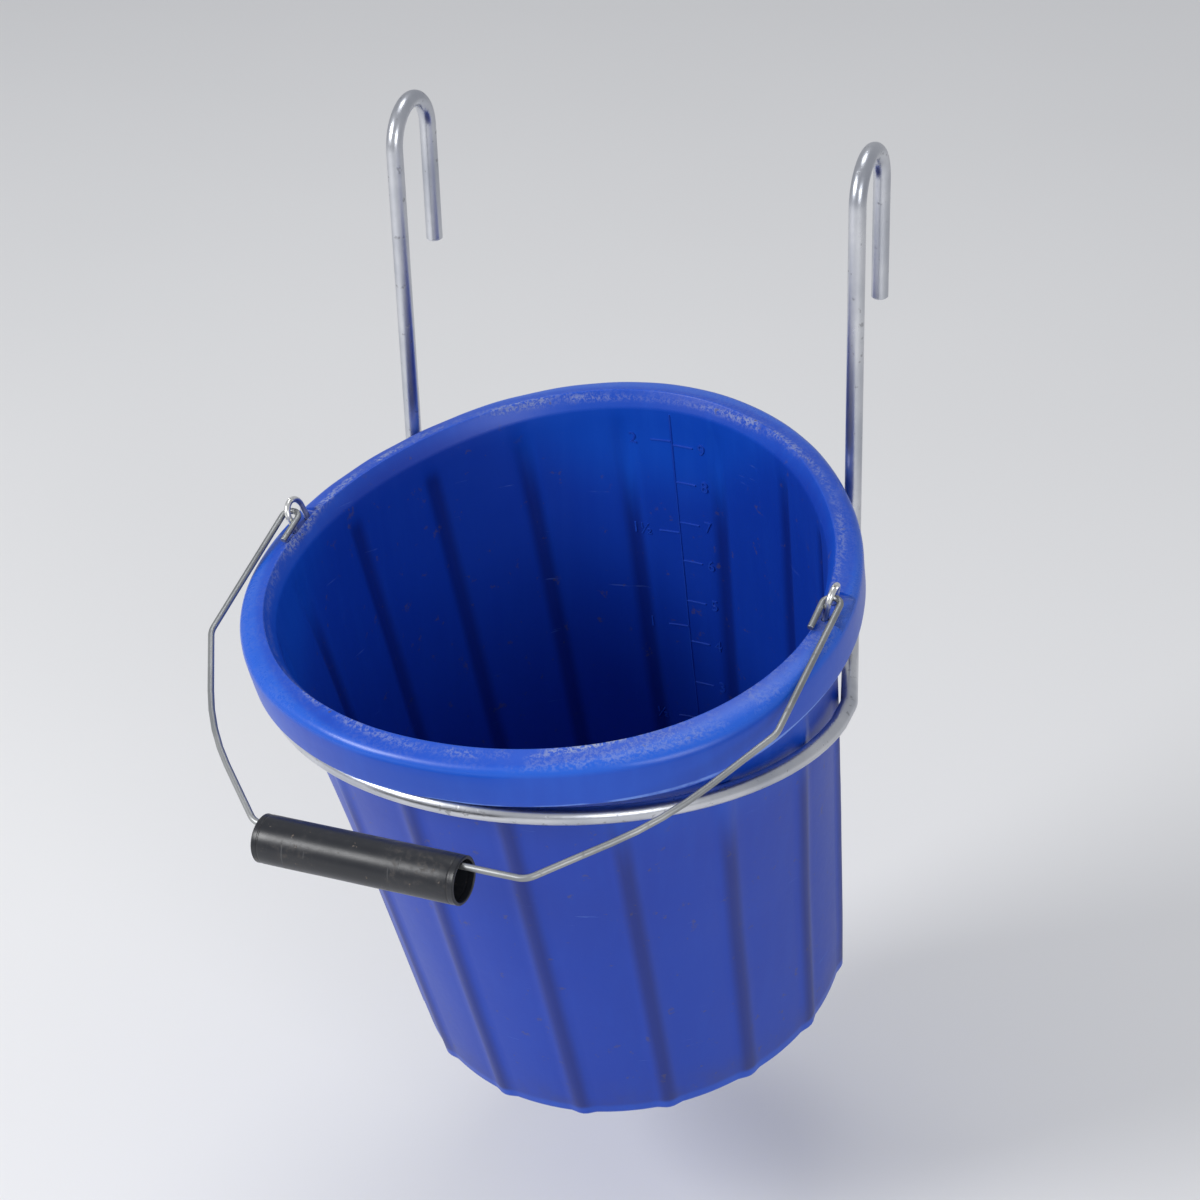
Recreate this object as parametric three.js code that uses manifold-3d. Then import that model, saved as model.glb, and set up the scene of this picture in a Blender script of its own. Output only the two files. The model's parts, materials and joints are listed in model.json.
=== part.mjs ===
// A two-gallon feed bucket with a wire bail and a tubular hand grip, sitting in a bent-rod holder
// whose two hooks go over a rail. Millimetres, +Z up along the holder's uprights, -Y is the front,
// and the origin lies midway between the seats of the two hooks.
import * as THREE from "three";
import { mergeVertices } from "three/addons/utils/BufferGeometryUtils.js";
import Module from "manifold-3d";

const wasm = await Module();
wasm.setup();

const degree = Math.PI / 180;

// ---- driving dimensions ----

// bucket: rim at height 0 of its own frame, floor below
const rimRadius = 144;
const rimFall = 1.6;
const rimCornerRadius = 5;
const rimThickness = 3;
const skirtDepth = 23.5;
const skirtThickness = 2.6;
const skirtTaper = 1;
const rimWidth = 13.4;
const mouthRadius = rimRadius - rimWidth;
const baseRadius = 107.2;
const bucketHeight = 256;
const wallThickness = 2.6;
const floorThickness = 3;
const footHeight = 2;
const footWidth = 7;
const edgeRound = 1.5;
const fluteCount = 16;
const fluteHeight = 1.3;
const fluteTopDepth = 14;
const rimPinch = 4;
const pinchDepth = 150;
const shellSteps = 128;

// how the bucket sits in the holder
const bucketLean = 10.2 * degree;
const bucketRoll = -3.3 * degree;
const bucketTurn = -3.75 * degree;
const bucketForward = 5.9;
const seatGap = 0.4;

// ear staples
const stapleWire = 3;
const stapleSpan = 11.4;
const stapleLean = 15 * degree;
const stapleInset = 9.5;
const stapleRise = 10.5;
const stapleLegDepth = 12;
const legFit = 0.08;
const notchLength = 22;
const notchDepth = 3.5;
const bossLength = 24;
const bossDepth = 17;

// bail and grip
const bailWire = 3;
const hingeHeight = 4.5;
const bailOverhang = 34;
const shoulderToMiddle = 98;
const shoulderNarrowing = 1.5;
const bailBowOut = 8;
const bailBowForward = 6;
const eyeSpare = 2.4;
const eyeWidth = bailWire + stapleWire + eyeSpare;
const tailLength = 15;
const gripLength = 98;
const gripDiameter = 21.6;
const gripWall = 1.6;
const gripEndPlay = 16.5;
const gripSlide = 13;
const gripHangGap = 0.25;
const bailFit = 0.4;
const gripEdge = 0.5;

// holder rod
const rodDiameter = 8;
const ringRise = 4.5 * degree;
const ringEndAngle = 98 * degree;
const ringFit = 0.5;
const uprightAngle = 50.5 * degree;
const uprightFit = 0.5;
const legDrop = 16;
const uprightHeight = 232;
const hookWidth = 37.6;
const hookLegLength = 78;
const kinkRadius = 26;
const footBendRadius = 17;
const ringSteps = 34;
const fitStep = 0.1;
const restStep = 0.1 * degree;
const armSamples = 12;

const rodRadius = rodDiameter / 2;

// ---- solids ----

function solidFrom(geometry) {
  const bare = geometry.clone();
  bare.deleteAttribute("normal");
  bare.deleteAttribute("uv");
  const merged = mergeVertices(bare, 1e-4);
  const mesh = new wasm.Mesh({
    numProp: 3,
    vertProperties: new Float32Array(merged.attributes.position.array),
    triVerts: new Uint32Array(merged.index.array),
  });
  return new wasm.Manifold(mesh);
}

function geometryFrom(solid) {
  const mesh = solid.getMesh();
  const geometry = new THREE.BufferGeometry();
  geometry.setAttribute("position", new THREE.BufferAttribute(new Float32Array(mesh.vertProperties), 3));
  geometry.setIndex(new THREE.BufferAttribute(new Uint32Array(mesh.triVerts), 1));
  geometry.computeVertexNormals();
  return geometry;
}

// ---- bent wire and rod ----

// A bent path: straight stretches carry no points of their own, and each bend is a run of short chords.
class BentPath extends THREE.Curve {
  constructor(points) {
    super();
    this.points = points;
  }

  getPoint(t, target = new THREE.Vector3()) {
    const place = t * (this.points.length - 1);
    const index = Math.min(Math.floor(place), this.points.length - 2);
    return target.copy(this.points[index]).lerp(this.points[index + 1], place - index);
  }

  getPointAt(u, target) {
    return this.getPoint(u, target);
  }

  getTangentAt(u, target = new THREE.Vector3()) {
    const last = this.points.length - 1;
    const index = Math.round(u * last);
    const here = this.points[index];
    const ahead = this.points[Math.min(index + 1, last)].clone().sub(here).normalize();
    const behind = here.clone().sub(this.points[Math.max(index - 1, 0)]).normalize();
    return target.copy(ahead).add(behind).normalize();
  }
}

// Turns a list of corners, each with its own bend radius, into the points of a bent wire.
function bend(corners, chordAngle = 15 * degree) {
  const points = [corners[0].at.clone()];
  for (let i = 1; i < corners.length - 1; i += 1) {
    const corner = corners[i].at;
    const radius = corners[i].radius ?? 0;
    const inward = corners[i - 1].at.clone().sub(corner).normalize();
    const onward = corners[i + 1].at.clone().sub(corner).normalize();
    const turn = Math.PI - inward.angleTo(onward);
    if (radius === 0 || turn < 1e-3) {
      points.push(corner.clone());
      continue;
    }
    const tangent = radius * Math.tan(turn / 2);
    const start = corner.clone().addScaledVector(inward, tangent);
    const toCentre = inward.clone().add(onward).normalize();
    const centre = corner.clone().addScaledVector(toCentre, radius / Math.cos(turn / 2));
    const axis = onward.clone().cross(inward).normalize();
    const arm = start.clone().sub(centre);
    const chords = Math.max(2, Math.ceil(turn / chordAngle));
    for (let k = 0; k <= chords; k += 1) {
      const swung = arm.clone().applyAxisAngle(axis, (turn * k) / chords);
      points.push(centre.clone().add(swung));
    }
  }
  points.push(corners[corners.length - 1].at.clone());
  return points;
}

// A round section swept along the points of a bent wire.
function sweep(points, radius, sides) {
  const section = new THREE.Shape();
  for (let k = 0; k < sides; k += 1) {
    const angle = (k / sides) * 2 * Math.PI;
    const x = radius * Math.cos(angle);
    const y = radius * Math.sin(angle);
    if (k === 0) section.moveTo(x, y);
    else section.lineTo(x, y);
  }
  section.closePath();
  const options = { steps: points.length - 1, extrudePath: new BentPath(points), bevelEnabled: false };
  return new THREE.ExtrudeGeometry(section, options);
}

// ---- bucket shell ----

// The wall's outer radius between flutes, at a height below the rim.
function wallRadius(height) {
  return baseRadius + ((mouthRadius - baseRadius) * (height + bucketHeight)) / bucketHeight;
}

// How far the rim and the upper wall are pushed in and out: three lobes, pushed in by the two uprights
// and by the front of the ring. The angle is measured from the back of the holder.
function pinchAt(angleFromBack, height) {
  const fade = THREE.MathUtils.clamp((height + pinchDepth) / (pinchDepth - fluteTopDepth), 0, 1);
  return rimPinch * fade * Math.cos(3 * angleFromBack);
}

function shellProfile() {
  const top = -bucketHeight + floorThickness + footHeight;
  const under = -rimThickness - rimFall;
  const cornerCentre = -rimFall - rimCornerRadius;
  const points = [
    [0, -bucketHeight + footHeight],
    [baseRadius - footWidth - edgeRound, -bucketHeight + footHeight],
    [baseRadius - footWidth, -bucketHeight],
    [baseRadius - edgeRound, -bucketHeight],
    [wallRadius(-bucketHeight + edgeRound), -bucketHeight + edgeRound],
    [wallRadius(-pinchDepth), -pinchDepth],
    [wallRadius(-fluteTopDepth), -fluteTopDepth],
    [wallRadius(under), under],
    [rimRadius - skirtThickness - edgeRound, under],
    [rimRadius - skirtThickness, under - edgeRound],
    [rimRadius - skirtThickness - skirtTaper, -skirtDepth],
    [rimRadius - skirtTaper, -skirtDepth],
  ];
  const cornerSteps = 4;
  for (let k = 0; k <= cornerSteps; k += 1) {
    const angle = (k / cornerSteps) * (Math.PI / 2);
    const reach = rimRadius - rimCornerRadius + rimCornerRadius * Math.cos(angle);
    points.push([reach, cornerCentre + rimCornerRadius * Math.sin(angle)]);
  }
  points.push([mouthRadius - wallThickness + edgeRound, 0]);
  points.push([wallRadius(-edgeRound) - wallThickness, -edgeRound]);
  points.push([wallRadius(-fluteTopDepth) - wallThickness, -fluteTopDepth]);
  points.push([wallRadius(-pinchDepth) - wallThickness, -pinchDepth]);
  points.push([wallRadius(top + 2 * edgeRound) - wallThickness, top + 2 * edgeRound]);
  points.push([baseRadius - wallThickness - 2 * edgeRound, top]);
  points.push([0, top]);
  return points.map(([x, y]) => new THREE.Vector2(x, y));
}

// Pushes each point of the turned shell out into the flutes and round the pinched rim.
function formShell(geometry) {
  const position = geometry.attributes.position;
  const fluteStep = (2 * Math.PI) / fluteCount;
  const fluteHalfWidth = (2 * Math.PI) / shellSteps;
  for (let i = 0; i < position.count; i += 1) {
    const x = position.getX(i);
    const y = position.getY(i);
    const height = position.getZ(i);
    const radius = Math.hypot(x, y);
    if (radius < baseRadius - footWidth - 2 * edgeRound) continue;
    const angle = Math.atan2(x, y);
    const across = Math.abs(THREE.MathUtils.euclideanModulo(angle, fluteStep) - fluteStep / 2);
    const crest = Math.max(0, 1 - across / fluteHalfWidth);
    const onWall = height < -fluteTopDepth + edgeRound && radius < mouthRadius + edgeRound;
    const flute = onWall ? fluteHeight * crest : 0;
    const grown = (radius + flute + pinchAt(angle - bucketTurn, height)) / radius;
    position.setXY(i, x * grown, y * grown);
  }
}

function fluteTopRings(points) {
  // the flutes start just under the rim, so the ring of points there is doubled a little lower
  const start = fluteTopDepth + 2 * fluteHeight;
  const rings = [];
  points.forEach((point, index) => {
    const previous = points[index - 1];
    const isTop = Math.abs(point.y + fluteTopDepth) < 1e-9;
    const inset = point.x < wallRadius(point.y) - wallThickness / 2 ? wallThickness : 0;
    const lower = new THREE.Vector2(wallRadius(-start) - inset, -start);
    const climbing = previous !== undefined && previous.y < point.y;
    if (isTop && climbing) rings.push(lower, new THREE.Vector2(point.x, point.y + 2 * edgeRound));
    else if (isTop) rings.push(new THREE.Vector2(point.x, point.y + 2 * edgeRound), lower);
    else rings.push(point);
  });
  return rings;
}

// ---- ear geometry, for one side (+1 right, -1 left) ----

const stapleX = rimRadius - stapleInset;
// the bail's eye is centred on the loop between the hinge height and the loop's top
const eyeCentreX = stapleX + (notchDepth + (hingeHeight + stapleRise) / 2) * Math.tan(stapleLean);

function staplePoints(below, above = stapleRise) {
  const half = stapleSpan / 2;
  const foot = (y) => ({ at: new THREE.Vector3(0, y, -below) });
  const shoulder = (y) => ({ at: new THREE.Vector3(0, y, above), radius: half });
  const corners = [foot(-half), shoulder(-half), shoulder(half), foot(half)];
  return bend(corners, 22.5 * degree);
}

function placeStaple(geometry, side) {
  geometry.rotateY(side * stapleLean);
  geometry.translate(side * stapleX, 0, -notchDepth);
  return geometry;
}

function earBox(side, fromX, toX, length, fromZ, toZ) {
  const box = new THREE.BoxGeometry(toX - fromX, length, toZ - fromZ);
  box.translate((side * (fromX + toX)) / 2, 0, (fromZ + toZ) / 2);
  return box;
}

function makeShell() {
  const profile = fluteTopRings(shellProfile());
  const turned = new THREE.LatheGeometry(profile, shellSteps);
  turned.rotateX(Math.PI / 2);
  turned.rotateZ(Math.PI / 2);
  turned.deleteAttribute("normal");
  turned.deleteAttribute("uv");
  const merged = mergeVertices(turned, 1e-4);
  formShell(merged);
  let shell = solidFrom(merged);
  for (const side of [-1, 1]) {
    const innerX = mouthRadius - wallThickness / 2;
    const outerX = rimRadius - skirtThickness / 2 - skirtTaper;
    const boss = earBox(side, innerX, outerX, bossLength, -bossDepth, -rimThickness / 2 - rimFall);
    const notch = earBox(side, stapleX - stapleWire, rimRadius + rimPinch + 1, notchLength, -notchDepth, 5);
    shell = shell.add(solidFrom(boss)).subtract(solidFrom(notch));
    for (const legSide of [-1, 1]) {
      const y = (legSide * stapleSpan) / 2;
      const ends = [new THREE.Vector3(0, y, -stapleLegDepth - legFit), new THREE.Vector3(0, y, stapleRise)];
      const drill = sweep(ends, stapleWire / 2 + legFit, 10);
      shell = shell.subtract(solidFrom(placeStaple(drill, side)));
    }
  }
  return geometryFrom(shell);
}

function makeStaple(side) {
  const wire = sweep(staplePoints(stapleLegDepth - legFit, stapleRise + notchDepth), stapleWire / 2, 10);
  return placeStaple(wire, side);
}

// ---- bail: drawn flat in the X-Y plane of its own frame, hinge along X, forward is -Y ----

const bailReach = rimRadius + bailOverhang;
const middleHalf = gripLength / 2 + gripEndPlay;

function bailCorners() {
  const shoulderReach = bailReach - shoulderToMiddle;
  const tailX = eyeCentreX - eyeWidth / 2;
  const armX = eyeCentreX + eyeWidth / 2;
  const shoulderX = armX - shoulderNarrowing;
  const eyeRadius = eyeWidth / 2;
  const place = (side, x, forward) => new THREE.Vector3(side * x, -forward, 0);
  const half = (side) => {
    const bowX = (shoulderX + middleHalf) / 2 + bailBowOut;
    const bowReach = (shoulderReach + bailReach) / 2 + bailBowForward;
    return [
      { at: place(side, tailX, tailLength + eyeRadius) },
      { at: place(side, tailX, 0), radius: eyeRadius },
      { at: place(side, armX, 0), radius: eyeRadius },
      { at: place(side, shoulderX, shoulderReach), radius: 12 },
      { at: place(side, bowX, bowReach), radius: 150 },
      { at: place(side, middleHalf, bailReach), radius: 10 },
    ];
  };
  return [...half(-1), ...half(1).reverse()];
}

const bailPoints = bend(bailCorners(), 18 * degree);

// The clear space between the surface of the bail's wire through a point and the top of the rim.
function rimGap(local) {
  const reach = Math.hypot(local.x, local.y) - pinchAt(Math.atan2(local.x, local.y) - bucketTurn, 0);
  const cornerStart = rimRadius - rimCornerRadius;
  const fall = rimFall * THREE.MathUtils.clamp((reach - mouthRadius) / (cornerStart - mouthRadius), 0, 1);
  const out = Math.max(reach - cornerStart, 0);
  const above = Math.max(local.z + fall + rimCornerRadius, 0);
  return Math.hypot(out, above) - rimCornerRadius - bailWire / 2;
}

// Lets the bail down in front until its arms lie on the rim.
function findBailRest() {
  const arms = [];
  const shares = Array.from({ length: armSamples + 1 }, (_, k) => k / armSamples);
  for (let i = 1; i < bailPoints.length; i += 1) {
    arms.push(...shares.map((share) => bailPoints[i - 1].clone().lerp(bailPoints[i], share)));
  }
  const gapAt = (rest) => {
    const swung = new THREE.Matrix4().makeRotationX(rest).setPosition(0, 0, hingeHeight);
    return Math.min(...arms.map((point) => rimGap(point.clone().applyMatrix4(swung))));
  };
  let rest = 0;
  while (rest < Math.PI / 2 && gapAt(rest + restStep) > bailFit) rest += restStep;
  return rest;
}

const bailRest = findBailRest();

function makeBail() {
  return sweep(bailPoints, bailWire / 2, 8);
}

function makeGrip() {
  const outer = gripDiameter / 2;
  const inner = outer - gripWall;
  const end = gripLength / 2;
  const profile = [
    new THREE.Vector2(inner, -end),
    new THREE.Vector2(outer - gripEdge, -end),
    new THREE.Vector2(outer, -end + gripEdge),
    new THREE.Vector2(outer, end - gripEdge),
    new THREE.Vector2(outer - gripEdge, end),
    new THREE.Vector2(inner, end),
    new THREE.Vector2(inner, -end),
  ];
  const tube = new THREE.LatheGeometry(profile, 32);
  tube.rotateZ(-Math.PI / 2);
  return tube;
}

// ---- how the bucket stands in the holder, and the holder's sizes that follow from it ----

const bucketTilt = new THREE.Matrix4()
  .makeRotationY(bucketRoll)
  .multiply(new THREE.Matrix4().makeRotationX(bucketLean));

function ringPoint(angleFromFront, radius) {
  const point = new THREE.Vector3(radius * Math.sin(angleFromFront), -radius * Math.cos(angleFromFront), 0);
  return point.applyAxisAngle(new THREE.Vector3(1, 0, 0), -ringRise);
}

// The bucket's own coordinates of a point in the holder, with the bucket standing at a height.
function inBucket(point, lift) {
  const local = point.clone().sub(new THREE.Vector3(0, -bucketForward, lift));
  return local.applyMatrix4(bucketTilt.clone().invert());
}

// The clear space between the surface of a rod through a point and the bucket's wall.
function wallGap(local) {
  const reach = Math.hypot(local.x, local.y);
  const pinch = pinchAt(Math.atan2(local.x, local.y), local.z);
  return reach - wallRadius(local.z) - fluteHeight - pinch - rodRadius;
}

// The clear space between the surface of a rod through a point and the rim with its hanging skirt.
function skirtGap(local) {
  const reach = Math.hypot(local.x, local.y) - pinchAt(Math.atan2(local.x, local.y), 0);
  const inner = rimRadius - skirtThickness - skirtTaper;
  const across = Math.max(inner - reach, reach - rimRadius, 0);
  const below = Math.max(-skirtDepth - local.z, local.z, 0);
  return Math.hypot(across, below) - rodRadius;
}

const ringArc = Array.from({ length: ringSteps + 1 }, (_, k) => ringEndAngle * ((2 * k) / ringSteps - 1));

function smallestGap(points, lift, gapOf) {
  return Math.min(...points.map((point) => gapOf(inBucket(point, lift))));
}

// Lowers the bucket from well above until its skirt stands on a ring of this radius.
function seatHeight(radius) {
  const arc = ringArc.map((angle) => ringPoint(angle, radius));
  let lift = rimRadius;
  while (lift > skirtDepth && smallestGap(arc, lift - fitStep, skirtGap) > seatGap) lift -= fitStep;
  return lift;
}

function findRingRadius() {
  let radius = rimRadius - rimPinch - skirtThickness - rodRadius;
  const tooTight = () => {
    const arc = ringArc.map((angle) => ringPoint(angle, radius));
    return smallestGap(arc, seatHeight(radius), wallGap) < ringFit;
  };
  while (tooTight()) radius += fitStep;
  return radius;
}

const ringRadius = findRingRadius();
const bucketLift = seatHeight(ringRadius);

function uprightFoot(side, distance) {
  const x = side * distance * Math.sin(uprightAngle);
  const y = distance * Math.cos(uprightAngle) - bucketForward;
  return new THREE.Vector3(x, y, -legDrop);
}

// Moves the uprights out until they and the legs that join them to the ring pass the bucket.
function findUprightDistance() {
  const shares = Array.from({ length: ringSteps + 1 }, (_, k) => k / ringSteps);
  let distance = rimRadius - 2 * rimPinch;
  const tooTight = () =>
    [-1, 1].some((side) => {
      const foot = uprightFoot(side, distance);
      const kink = ringPoint(side * ringEndAngle, ringRadius);
      const top = foot.clone().setZ(uprightHeight);
      const leg = shares.map((share) => kink.clone().lerp(foot, share));
      const upright = shares.map((share) => foot.clone().lerp(top, share));
      const points = [...leg, ...upright].filter((point) => inBucket(point, bucketLift).z < rodRadius);
      const gaps = [wallGap, skirtGap].map((gapOf) => smallestGap(points, bucketLift, gapOf));
      return Math.min(...gaps) < uprightFit;
    });
  while (tooTight()) distance += fitStep;
  return distance;
}

const uprightDistance = findUprightDistance();

function holderCorners() {
  const corners = [];
  const hookRadius = hookWidth / 2;
  for (const side of [-1, 1]) {
    const foot = uprightFoot(side, uprightDistance);
    const top = foot.clone().setZ(uprightHeight);
    const over = top.clone().add(new THREE.Vector3(0, hookWidth, 0));
    const tip = over.clone().setZ(uprightHeight - hookLegLength);
    const half = [
      { at: tip },
      { at: over, radius: hookRadius },
      { at: top, radius: hookRadius },
      { at: foot, radius: footBendRadius },
      { at: ringPoint(side * ringEndAngle, ringRadius), radius: kinkRadius },
    ];
    if (side < 0) {
      corners.push(...half);
      corners.push(...ringArc.slice(1, -1).map((angle) => ({ at: ringPoint(angle, ringRadius) })));
    } else {
      corners.push(...half.reverse());
    }
  }
  return corners;
}

// ---- assembly ----

const polythene = new THREE.MeshStandardMaterial({ color: 0x0f3fae, roughness: 0.42, metalness: 0 });
const brightWire = new THREE.MeshStandardMaterial({ color: 0xc9c9c6, roughness: 0.25, metalness: 1 });
const galvanised = new THREE.MeshStandardMaterial({ color: 0x9a9d9c, roughness: 0.45, metalness: 1 });
const zincRod = new THREE.MeshStandardMaterial({ color: 0xb9bcc4, roughness: 0.28, metalness: 1 });
const blackTube = new THREE.MeshStandardMaterial({ color: 0x1d2026, roughness: 0.45, metalness: 0 });

function part(name, geometry, material) {
  const mesh = new THREE.Mesh(geometry, material);
  mesh.name = name;
  return mesh;
}

const holder = part("holder_rod", sweep(bend(holderCorners()), rodRadius, 12), zincRod);

const grip = new THREE.Group();
grip.rotation.x = -(bucketLean + bailRest);
grip.position.y = -bailReach;
const gripHang = gripDiameter / 2 - gripWall - bailWire / 2 - gripHangGap;
const sleeve = part("grip_sleeve", makeGrip(), blackTube);
sleeve.position.set(-gripSlide, 0, -gripHang);
grip.add(sleeve);

const bail = new THREE.Group();
bail.position.z = hingeHeight;
bail.rotation.x = bailRest;
bail.add(part("bail_wire", makeBail(), galvanised), grip);

const bucket = new THREE.Group();
bucket.rotation.z = bucketTurn;
bucket.add(
  part("bucket_shell", makeShell(), polythene),
  part("ear_staple_left", makeStaple(-1), brightWire),
  part("ear_staple_right", makeStaple(1), brightWire),
  bail,
);

const seated = new THREE.Group();
seated.position.set(0, -bucketForward, bucketLift);
seated.setRotationFromMatrix(bucketTilt);
seated.add(bucket);

const feedBucket = new THREE.Group();
feedBucket.add(holder, seated);
const hookSeatY = uprightFoot(1, uprightDistance).y + hookWidth / 2;
feedBucket.position.set(0, -hookSeatY, rodRadius - uprightHeight);

const assembly = new THREE.Group();
assembly.add(feedBucket);

export default assembly;
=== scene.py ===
import json
import math

import bpy
from mathutils import Matrix, Vector, noise


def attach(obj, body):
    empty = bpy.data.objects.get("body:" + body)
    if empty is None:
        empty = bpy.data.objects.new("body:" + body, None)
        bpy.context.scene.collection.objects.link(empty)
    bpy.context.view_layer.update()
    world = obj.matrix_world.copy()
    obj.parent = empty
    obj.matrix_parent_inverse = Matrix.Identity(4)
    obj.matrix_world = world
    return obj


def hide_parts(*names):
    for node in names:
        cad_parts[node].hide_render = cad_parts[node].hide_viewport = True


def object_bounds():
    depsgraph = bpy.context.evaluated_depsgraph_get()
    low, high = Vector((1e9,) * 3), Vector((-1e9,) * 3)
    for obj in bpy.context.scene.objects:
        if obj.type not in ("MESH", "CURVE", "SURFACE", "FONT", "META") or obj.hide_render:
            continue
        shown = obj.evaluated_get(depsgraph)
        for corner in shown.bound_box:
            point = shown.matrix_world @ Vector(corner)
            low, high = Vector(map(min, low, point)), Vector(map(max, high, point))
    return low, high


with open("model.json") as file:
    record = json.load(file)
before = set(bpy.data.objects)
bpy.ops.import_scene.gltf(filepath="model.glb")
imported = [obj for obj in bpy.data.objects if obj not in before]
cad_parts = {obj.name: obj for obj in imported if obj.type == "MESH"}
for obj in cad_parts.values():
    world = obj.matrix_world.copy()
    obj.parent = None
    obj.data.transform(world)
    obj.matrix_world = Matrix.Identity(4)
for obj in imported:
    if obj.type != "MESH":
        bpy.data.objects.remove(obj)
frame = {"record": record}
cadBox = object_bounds()
joints = {joint["name"]: joint for joint in frame["record"]["behaviour"]["joints"]}

mm = 0.001
fullTurn = 2 * math.pi
sharpAngle = 38  # degrees past which an edge stays crisp
noise.seed_set(7)  # fixes the small wander of the bail's wire, so that every run gives the same one


# shader maths: a socket that can be added, multiplied and subtracted

class Sock:
    def __init__(self, paint, socket):
        self.paint = paint
        self.socket = socket

    def op(self, kind, *others):
        return self.paint.math(kind, self, *others)

    def __add__(self, other):
        return self.op("ADD", other)

    def __radd__(self, other):
        return self.paint.math("ADD", other, self)

    def __sub__(self, other):
        return self.op("SUBTRACT", other)

    def __rsub__(self, other):
        return self.paint.math("SUBTRACT", other, self)

    def __mul__(self, other):
        return self.op("MULTIPLY", other)

    def __rmul__(self, other):
        return self.paint.math("MULTIPLY", other, self)


class Paint:
    def __init__(self, name):
        self.material = bpy.data.materials.new(name)
        self.material.use_nodes = True
        self.tree = self.material.node_tree
        self.shader = next(n for n in self.tree.nodes if n.type == "BSDF_PRINCIPLED")

    # any node: its settings first, then the values or links of its sockets
    def node(self, kind, settings=None, output=0, **inputs):
        made = self.tree.nodes.new("ShaderNode" + kind)
        for key, value in (settings or {}).items():
            setattr(made, key, value)
        for key, value in inputs.items():
            self.feed(made.inputs[int(key[1:]) if key[0] == "_" else key], value)
        return Sock(self, made.outputs[output])

    def feed(self, socket, value):
        if isinstance(value, Sock):
            self.tree.links.new(value.socket, socket)
        else:
            socket.default_value = value

    def math(self, kind, *values):
        inputs = {"_%d" % place: value for place, value in enumerate(values)}
        return self.node("Math", {"operation": kind}, **inputs)

    def dot(self, vector, direction):
        settings = {"operation": "DOT_PRODUCT"}
        return self.node("VectorMath", settings, output="Value", _0=vector, _1=direction)

    def place(self):
        return self.node("TexCoord", output="Object")

    def noise(self, vector, scale, detail=3.0, rough=0.55):
        return self.node("TexNoise", Vector=vector, Scale=scale, Detail=detail, Roughness=rough)

    def stretched(self, vector, scale):
        return self.node("VectorMath", {"operation": "MULTIPLY"}, _0=vector, _1=scale)

    # 0 below low, 1 above high, smooth between
    def step(self, value, low, high):
        settings = {"interpolation_type": "SMOOTHSTEP"}
        return self.node("MapRange", settings, Value=value, _1=low, _2=high)

    # 1 within half a width of the middle, fading out over soft
    def band(self, value, middle, half, soft):
        away = (value - middle).op("ABSOLUTE")
        return 1 - self.step(away, half, half + soft)

    def mix(self, share, first, second):
        return self.node("Mix", {"data_type": "RGBA"}, output=2, _0=share, _6=first, _7=second)

    def bump(self, height, strength, distance):
        return self.node("Bump", Strength=strength, Distance=distance, Height=height)

    def set(self, **inputs):
        for key, value in inputs.items():
            self.feed(self.shader.inputs[key.replace("_", " ")], value)
        return self.material


# where the bucket, the bail and the grip stand, from the frame's joints

def basis(origin, xAxis, zAxis):
    x = Vector(xAxis).normalized()
    z = (Vector(zAxis) - x * Vector(zAxis).dot(x)).normalized()
    y = z.cross(x)
    turned = Matrix((x, y, z)).transposed().to_4x4()
    turned.translation = Vector(origin)
    return turned


bucket = {
    "rimRadius": 144.0, "rimFall": 2.6, "ridge": 1.2, "lipDepth": 8.0,
    "rimCorner": 5.0, "rimThickness": 3.0,
    "skirtDepth": 23.5, "skirtThickness": 2.6, "skirtTaper": 1.0,
    "mouthRadius": 130.6, "baseRadius": 107.2, "height": 256.0,
    "wall": 2.6, "floor": 3.0, "footHeight": 2.0, "footWidth": 7.0,
    "flutes": 16, "fluteHeight": 1.7, "fluteHalfWidth": 6.8, "fluteTop": 13.0,
    "fluteFade": 7.0, "fluteSharpness": 0.8,
    "pinch": 4.0, "pinchDepth": 150.0, "turn": math.radians(-3.75),
    "flareAngle": math.radians(128), "flareWidth": math.radians(17), "flareOut": 2.2, "flareDrop": 2.0,
    "uneven": 0.35, "rimUneven": 0.45,  # how far the used wall and rim stray from true
    "hingeHeight": 4.5, "segments": 320, "longestStep": 7.0, "chordAngle": math.radians(14),
}

bucketUp = Vector(joints["bucket_lift"]["axis"]).normalized()
hingeAxis = -Vector(joints["bail_swing"]["axis"])
hingePlace = Vector(joints["bail_swing"]["pos_m"])
gripPlace = Vector(joints["grip_turn"]["pos_m"])
bucketBasis = basis(hingePlace - bucketUp * bucket["hingeHeight"] * mm, hingeAxis, bucketUp)
bailForward = (gripPlace - hingePlace).normalized()
bailBasis = basis(hingePlace, hingeAxis, hingeAxis.cross(-bailForward))
gripBasis = basis(gripPlace, hingeAxis, (0, 0, 1))


# mesh helpers: every shape is worked out in millimetres in its own piece's frame

def addObject(name, data):
    made = bpy.data.objects.new(name, data)
    bpy.context.scene.collection.objects.link(made)
    return made


def toMesh(name, points, faces, toFrame, crisp=sharpAngle):
    mesh = bpy.data.meshes.new(name)
    mesh.from_pydata([toFrame @ (point * mm) for point in points], [], faces)
    mesh.validate()
    mesh.update()
    mesh.shade_smooth()
    mesh.set_sharp_from_angle(angle=math.radians(crisp))
    return addObject(name, mesh)


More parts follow.
